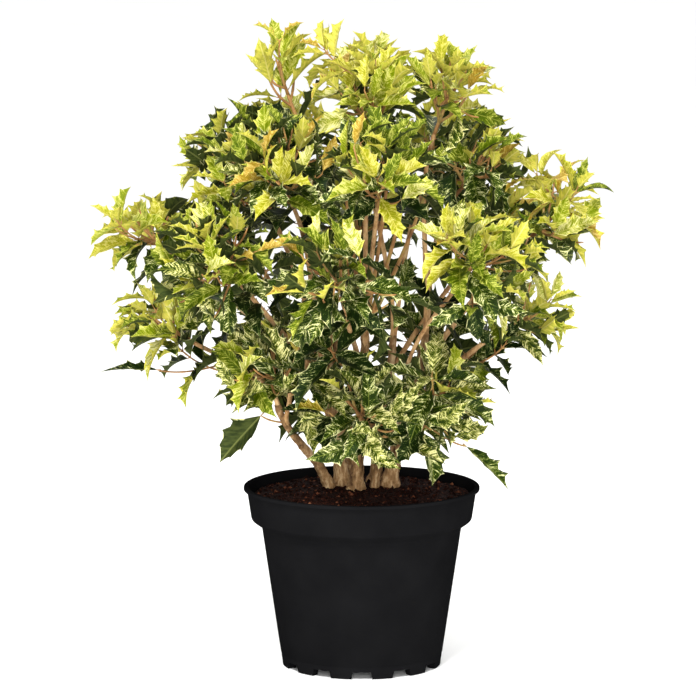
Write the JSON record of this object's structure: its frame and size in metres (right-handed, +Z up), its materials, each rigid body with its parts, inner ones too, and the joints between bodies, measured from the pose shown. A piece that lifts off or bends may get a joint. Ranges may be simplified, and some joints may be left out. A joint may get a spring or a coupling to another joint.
{
  "type": "potted goshiki holly osmanthus shrub",
  "caption": "Upright variegated holly osmanthus in a nursery pot: bare lower stems fork into boughs that carry tufted masses of spiny, cream-marbled evergreen leaves.",
  "frame": {"origin": "middle of the plant's reach from left to right and front to back, at the level of the pot's feet; the pot's own axis stands 16 mm to the right of it", "axes": "+Z up along the stems, -Y towards the front that the picture shows, +X to its right"},
  "size_m": [0.4967, 0.4842, 0.6298],
  "materials": {
    "pot_plastic": "black moulded nursery-pot plastic with a low sheen",
    "potting_mix": "dark moist peat and bark crumbs, matte",
    "old_bark": "rough tan-brown bark with lumps at the foot",
    "young_bark": "smooth reddish-tan young bark",
    "leaf_gold": "young gold and bronze leaves, satin",
    "leaf_lime": "lime leaves flecked with green, satin",
    "leaf_marbled": "green leaves marbled with cream, satin",
    "leaf_deep": "old dark green leaves with fine cream flecks, satin"
  },
  "bodies": {
    "root": {"pot": "pot_plastic", "potting_mix": "potting_mix", "stem_left_low": "old_bark", "stem_mid_left": "old_bark", "stem_middle": "old_bark", "stem_right_thin": "old_bark", "stem_right": "old_bark", "stem_back_right": "old_bark", "stem_back_left": "old_bark", "bough_top_left": "young_bark", "bough_top_front": "young_bark", "bough_top_right": "young_bark", "bough_top_back": "young_bark", "bough_upper_left": "young_bark", "bough_upper_front_left": "young_bark", "bough_upper_front": "young_bark", "bough_upper_right": "young_bark", "bough_upper_back_right": "young_bark", "bough_upper_back_left": "young_bark", "bough_middle_left": "young_bark", "bough_middle_front_left": "young_bark", "bough_middle_front": "young_bark", "bough_middle_front_right": "young_bark", "bough_middle_right": "young_bark", "bough_middle_back_right": "young_bark", "bough_middle_back": "young_bark", "bough_middle_back_left": "young_bark", "bough_lower_left": "young_bark", "bough_lower_front_left": "young_bark", "bough_lower_front": "young_bark", "bough_lower_front_right": "young_bark", "bough_lower_right": "young_bark", "bough_lower_back_right": "young_bark", "bough_lower_back_left": "young_bark", "mass_top_left": "leaf_gold", "mass_top_front": "leaf_gold", "mass_top_right": "leaf_gold", "mass_top_back": "leaf_gold", "mass_upper_left": "leaf_lime", "mass_upper_front_left": "leaf_lime", "mass_upper_front": "leaf_lime", "mass_upper_right": "leaf_lime", "mass_upper_back_right": "leaf_lime", "mass_upper_back_left": "leaf_lime", "mass_middle_left": "leaf_marbled", "mass_middle_front_left": "leaf_marbled", "mass_middle_front": "leaf_marbled", "mass_middle_front_right": "leaf_marbled", "mass_middle_right": "leaf_marbled", "mass_middle_back_right": "leaf_marbled", "mass_middle_back": "leaf_marbled", "mass_middle_back_left": "leaf_marbled", "mass_lower_left": "leaf_deep", "mass_lower_front_left": "leaf_deep", "mass_lower_front": "leaf_deep", "mass_lower_front_right": "leaf_deep", "mass_lower_right": "leaf_deep", "mass_lower_back_right": "leaf_deep", "mass_lower_back_left": "leaf_deep"}
  },
  "joints": []
}
